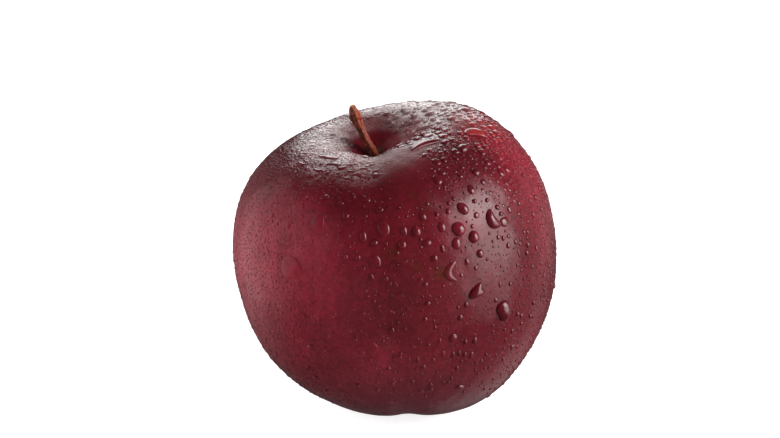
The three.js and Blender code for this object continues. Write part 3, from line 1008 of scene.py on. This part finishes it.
def specks(tree, cells_per_mm, radius, share):
    """Round specks: some of the cells of a scattered pattern have one."""
    cells = tree.nodes.new("ShaderNodeTexVoronoi")
    tree.link(tree.mm, cells.inputs["Vector"])
    cells.inputs["Scale"].default_value = cells_per_mm
    near = tree.ranged(cells.outputs["Distance"], radius * 0.5, radius, 1.0, 0.0)
    chosen = tree.math("LESS_THAN", cells.outputs["Color"], share)
    return tree.math("MULTIPLY", near, chosen)


def dust_and_sheen_over(tree, colour, share):
    """The colour under a share of the left cheek's pale dust and painted sheen."""
    streaks = streaky(tree, tree.noise("bloom_and_sheen_streaks"), "dust_and_sheen", share)
    return tree.mix(tree.math("MULTIPLY", tree.patch(*DUST_AND_SHEEN_PATCH), streaks), colour, DUST_AND_SHEEN)


def bloom_and_sheen_over(tree, colour, share):
    """The colour under a share of the pale bloom and its painted sheen, which stay out of the cavity."""
    streaks = tree.noise("bloom_and_sheen_streaks")
    outside = tree.ranged(tree.patch(*CAVITY_PATCH), 0.0, 1.0, 1.0, 0.0)
    for *spot, most in BLOOM_AND_SHEEN_PATCHES:
        cover = tree.math("MULTIPLY", tree.patch(*spot), streaky(tree, streaks, "bloom_and_sheen", most))
        cover = tree.math("MULTIPLY", cover, tree.math("MULTIPLY", outside, share))
        colour = tree.mix(cover, colour, BLOOM_AND_SHEEN)
    return colour


def rippled(tree, colour):
    """The colour under the bloom that has dried in ripples, partly a painted sheen."""
    ripples = tree.noise("ripples")
    for *spot, most in RIPPLED_PATCHES:
        cover = tree.math("MULTIPLY", tree.patch(*spot), tree.math("MULTIPLY", ripples, most))
        colour = tree.mix(cover, colour, BLOOM_AND_SHEEN)
    return colour


def skin_material():
    tree = Tree("plum_skin")
    colour = rippled(tree, bloom_and_sheen_over(tree, skin_colour(tree), 1.0))
    colour = dust_and_sheen_over(tree, colour, 1.0)
    for cells_per_mm, radius, share, strength, speck in SPECKS:
        cover = tree.math("MULTIPLY", specks(tree, cells_per_mm, radius, share), strength)
        colour = tree.mix(cover, colour, speck)
    for spot in SCARS_AND_FOOT_SHADE:
        colour = tree.mix(tree.patch(*spot), colour, SCAR_AND_SHADE)
    puckered = tree.math("MAXIMUM", *[tree.patch(*spot) for spot in PUCKERED_PATCHES])
    misty = tree.patch(*MISTY_PATCH)
    normal = tree.relief("pores", tree.noise("pores"))
    normal = tree.relief("wrinkles", tree.noise("wrinkles"), normal)
    normal = tree.relief("puckers", tree.math("MULTIPLY", tree.noise("puckers"), puckered), normal)
    normal = tree.relief("mist", tree.math("MULTIPLY", tree.noise("mist"), misty), normal)
    roughness = tree.math("ADD", tree.noise("gloss"), tree.math("MULTIPLY", misty, MIST_ROUGHNESS))
    tree.shader.inputs["Specular IOR Level"].default_value = SKIN_GLOSS
    return tree.finish(roughness, SKIN_IOR, Base_Color=colour, Normal=normal)


def water_material(name, dust_and_sheen):
    """Water on the skin: its gloss over the skin's own colour, deepened, with a share of the dust and its
    painted sheen.
    """
    tree = Tree(name)
    colour = bloom_and_sheen_over(tree, tree.scaled(skin_colour(tree), WATER["deepens"]), WATER["bloom_and_sheen"])
    colour = tree.patched(dust_and_sheen_over(tree, colour, dust_and_sheen), [LIT_PATCH], LIT_DEW)
    dull = tree.patch(*DULL_DEW_PATCH)
    roughness = tree.ranged(dull, 0.0, 1.0, WATER["roughness"], WATER["dull_roughness"])
    return tree.finish(roughness, WATER_IOR, Base_Color=colour)


BARK = (0.055, 0.0115, 0.006, 1)
# Painted light on the stalk's lit side.
LIT_SIDE_BARK = (0.19, 0.030, 0.012, 1)
PALE_BARK = (0.27, 0.08, 0.038, 1)
# A paler tip, partly its own colour, brightest on its lit side as a painted highlight.
TIP_HIGHLIGHT_BARK = (0.55, 0.20, 0.07, 1)
CRACK = (0.012, 0.004, 0.003, 1)
# Painted light and shade: the side towards +X is brighter, unevenly by its streaks, and most of all at the
# tip.
BARK_LOOK = {
    "shade_edge": -0.2,  # millimetres from the middle of the stalk
    "by_side": 0.55,
    "by_streaks": 3.4,
    "bright": (-0.5, 0.5),
    "tip": (0.4, 1.7),  # millimetres
    "tip_highlight": (-0.3, 0.7),
    "crack_depth": 0.5,
}


def stalk_material():
    tree, look = Tree("stalk_wood"), BARK_LOOK
    foot, along, across, _ = stalk_frame()
    side = tree.add("ShaderNodeVectorMath", "Value", [tree.mm, tuple(across)], operation="DOT_PRODUCT")
    side = tree.math("SUBTRACT", side, float(across @ foot / MM) + look["shade_edge"])
    streaks = tree.noise("bark_streaks")
    by_streaks = tree.math("MULTIPLY", tree.math("SUBTRACT", streaks, 0.5), look["by_streaks"])
    # Painted light: how lit each side of the stalk is, brightest towards +X.
    lit_side = tree.math("ADD", tree.math("MULTIPLY", side, look["by_side"]), by_streaks)
    colour = tree.mix(tree.ranged(lit_side, *look["bright"]), BARK, LIT_SIDE_BARK)
    colour = tree.mix(tree.noise("worn_bark"), colour, PALE_BARK)
    cracks = tree.noise("bark_cracks")
    colour = tree.mix(cracks, colour, CRACK)
    tip = foot + STALK["stations"][-1][0] * MM * along
    at_tip = tree.ranged(tree.distance(tip), *look["tip"], 1.0, 0.0)
    # A painted highlight on the lit side of the tip.
    tip_highlight = tree.math("MULTIPLY", at_tip, tree.ranged(lit_side, *look["tip_highlight"]))
    colour = tree.mix(tip_highlight, colour, TIP_HIGHLIGHT_BARK)
    height = tree.math("SUBTRACT", streaks, tree.math("MULTIPLY", cracks, look["crack_depth"]))
    tree.shader.inputs["Specular IOR Level"].default_value = BARK_GLOSS
    return tree.finish(BARK_ROUGHNESS, BARK_IOR, Base_Color=colour, Normal=tree.relief("bark", height))


# ---- The studio ----

CAMERA = {
    "elevation": math.radians(17),
    "distance": 664 * MM,
    "lens": 150.0,
    "sensor": 36.0,
    "nearest": 10 * MM,
}
PICTURE = (780, 438)
FRUIT_IN_PICTURE = (389.5, 259.0)  # the pixel of the fruit's centre
# Rectangular lights that face the fruit: azimuth, 0 in front and growing towards +X, and elevation in
# degrees, distance, width and height in metres, and radiance.
SOFTBOXES = {
    "right_softbox": (71, 9, 0.5, 0.49, 0.76, 2.9),
    "right_rim_softbox": (122, -4, 0.5, 0.30, 0.42, 0.4),
    "right_middle": (70, 16, 0.49, 0.38, 0.48, 5.8),
    "right_core": (68, 30, 0.48, 0.24, 0.22, 9.5),
    "left_softbox": (-110, 5, 0.5, 0.43, 0.56, 0.45),
    "left_wide_softbox": (-102, 5, 0.52, 0.68, 0.72, 0.42),
    "back_softbox": (-163, 43, 0.6, 0.19, 0.20, 7.4),
    "back_low_softbox": (-182, 21, 0.6, 0.29, 0.24, 5.0),
}
# Lights whose own reflections aren't seen.
FILLS = {"left_fill": (-74, 8, 0.5, 0.44, 0.44, 5.0), "top_fill": (110, 62, 0.55, 0.4, 0.4, 1.6)}
# The strength of the room's light above the horizon and, in the fruit's gloss alone, below it, between
# which heights it changes, and a paler part with its azimuth, elevation and reach in degrees.
WORLD = {
    "above": 0.05,
    "below": 0.085,
    "horizon": (-0.2, 0.0),
    "paler": 0.6,
    "azimuth": 139,
    "elevation": -45,
    "reach": 24,
}
FLOOR = {"half_width": 3.0, "albedo": 0.55, "glow": 0.83, "roughness": 0.9}


def camera():
    data = bpy.data.cameras.new("camera")
    data.lens = CAMERA["lens"]
    data.sensor_width = CAMERA["sensor"]
    data.clip_start = CAMERA["nearest"]
    data.shift_x = (PICTURE[0] / 2 - FRUIT_IN_PICTURE[0]) / PICTURE[0]
    data.shift_y = (FRUIT_IN_PICTURE[1] - PICTURE[1] / 2) / PICTURE[0]
    view = placed("camera", data)
    tilt = CAMERA["elevation"]
    back = Vector((0, -math.cos(tilt), math.sin(tilt)))
    view.location = Vector(CENTRE) + CAMERA["distance"] * back
    view.rotation_euler = (math.pi / 2 - tilt, 0, 0)
    bpy.context.scene.camera = view


def towards(azimuth, elevation):
    a, e = math.radians(azimuth), math.radians(elevation)
    return Vector((math.sin(a) * math.cos(e), -math.cos(a) * math.cos(e), math.sin(e)))


def softbox(name, azimuth, elevation, distance, width, height, radiance):
    data = bpy.data.lights.new(name, "AREA")
    data.shape = "RECTANGLE"
    data.size = width
    data.size_y = height
    data.energy = radiance * math.pi * width * height
    light = placed(name, data)
    out = towards(azimuth, elevation)
    light.location = Vector(CENTRE) + distance * out
    light.rotation_euler = out.to_track_quat("Z", "Y").to_euler()
    light.visible_camera = False
    return light


def room():
    """A dim white room. Below the horizon it is what the fruit's gloss sees in place of the floor."""
    world = bpy.data.worlds.new("studio")
    world.use_nodes = True
    nodes, links = world.node_tree.nodes, world.node_tree.links
    seen = nodes.new("ShaderNodeTexCoord").outputs["Generated"]

    def along(way, low, high, at_low, at_high):
        """A strength that changes with how far the direction seen goes along a way."""
        dot = nodes.new("ShaderNodeVectorMath")
        dot.operation = "DOT_PRODUCT"
        links.new(seen, dot.inputs[0])
        dot.inputs[1].default_value = way
        ranged = nodes.new("ShaderNodeMapRange")
        links.new(dot.outputs["Value"], ranged.inputs["Value"])
        for socket, number in zip(ranged.inputs[1:5], (low, high, at_low, at_high)):
            socket.default_value = number
        return ranged.outputs[0]

    level = along((0, 0, 1), *WORLD["horizon"], WORLD["below"], WORLD["above"])
    edge = math.cos(math.radians(WORLD["reach"]))
    paler = along(towards(WORLD["azimuth"], WORLD["elevation"]), edge, 1, 0, WORLD["paler"])
    both = nodes.new("ShaderNodeMath")
    links.new(level, both.inputs[0])
    links.new(paler, both.inputs[1])
    background = nodes["Background"]
    background.inputs["Color"].default_value = (1, 1, 1, 1)
    links.new(both.outputs[0], background.inputs["Strength"])
    bpy.context.scene.world = world


def floor():
    mesh = bpy.data.meshes.new("floor")
    half = FLOOR["half_width"]
    corners = [(-half, -half, 0), (half, -half, 0), (half, half, 0), (-half, half, 0)]
    mesh.from_pydata(corners, [], [(0, 1, 2, 3)])
    material = bpy.data.materials.new("floor")
    material.use_nodes = True
    shader = material.node_tree.nodes["Principled BSDF"]
    for name, value in (
        ("Base Color", (*[FLOOR["albedo"]] * 3, 1)),
        ("Roughness", FLOOR["roughness"]),
        ("Emission Color", (1, 1, 1, 1)),
        ("Emission Strength", FLOOR["glow"]),
    ):
        shader.inputs[name].default_value = value
    mesh.materials.append(material)
    plane = placed("floor", mesh)
    plane.visible_glossy = False


# ---- The plum ----

BEAD_SEED = 7
SMALLEST_BEAD, SMALLEST_DROPLET = 1.6, 0.85  # millimetres across
MIST_MEETS = 70  # degrees round from the front, where the mist's two pieces meet
# How each size is made: its rings and sides, how uneven its outline is, how far it sags and how deep its
# rim lies.
BEAD_SHAPE = {"rings": 9, "sides": 28, "unevenness": 0.05, "sag": 0.2, "root": 0.06 * MM}
DROPLET_SHAPE = {"rings": 4, "sides": 12, "unevenness": 0.08, "sag": 0.2, "root": 0.04 * MM}
MIST_SHAPE = {"rings": 2, "sides": 6, "unevenness": 0.06, "sag": 0.0, "root": 0.03 * MM}
# How much of the dust and its painted sheen shows through the beads and the smaller drops.
BEAD_DUST_AND_SHEEN, DEW_DUST_AND_SHEEN = 0.25, 0.8


def dress():
    fruit = fruit_mesh(skin_material())
    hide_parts("fruit")
    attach(fruit, "root")

    stalk = stalk_mesh(stalk_material())
    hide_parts("stalk")
    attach(stalk, "root")

    rng = np.random.default_rng(BEAD_SEED)
    set_beads = PLACED_BEADS + drawn_beads() + STREAKS + [(*bead, *NO_BEND) for bead in SMALL_BEADS]
    drops = np.concatenate([np.array(set_beads), showered(set_beads, rng)])
    across = (drops[:, 2] + drops[:, 3]) / 2
    big = across >= SMALLEST_BEAD
    middling = (across >= SMALLEST_DROPLET) & ~big
    mist = ~big & ~middling
    behind = np.cos(np.radians(drops[:, 1])) < np.cos(np.radians(MIST_MEETS))
    water, dew = water_material("water", BEAD_DUST_AND_SHEEN), water_material("dew", DEW_DUST_AND_SHEEN)
    pieces = [
        beads_object("water_beads", drops[big], water, rng, BEAD_SHAPE),
        beads_object("water_droplets", drops[middling], dew, rng, DROPLET_SHAPE),
        beads_object("water_mist_front", drops[mist & ~behind], dew, rng, MIST_SHAPE),
        beads_object("water_mist_back", drops[mist & behind], dew, rng, MIST_SHAPE),
    ]
    for piece in pieces:
        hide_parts("fruit")
        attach(piece, "root")


dress()
camera()
for name, values in SOFTBOXES.items():
    softbox(name, *values)
for name, values in FILLS.items():
    softbox(name, *values).visible_glossy = False
room()
floor()
bpy.context.scene.view_settings.view_transform = "Standard"
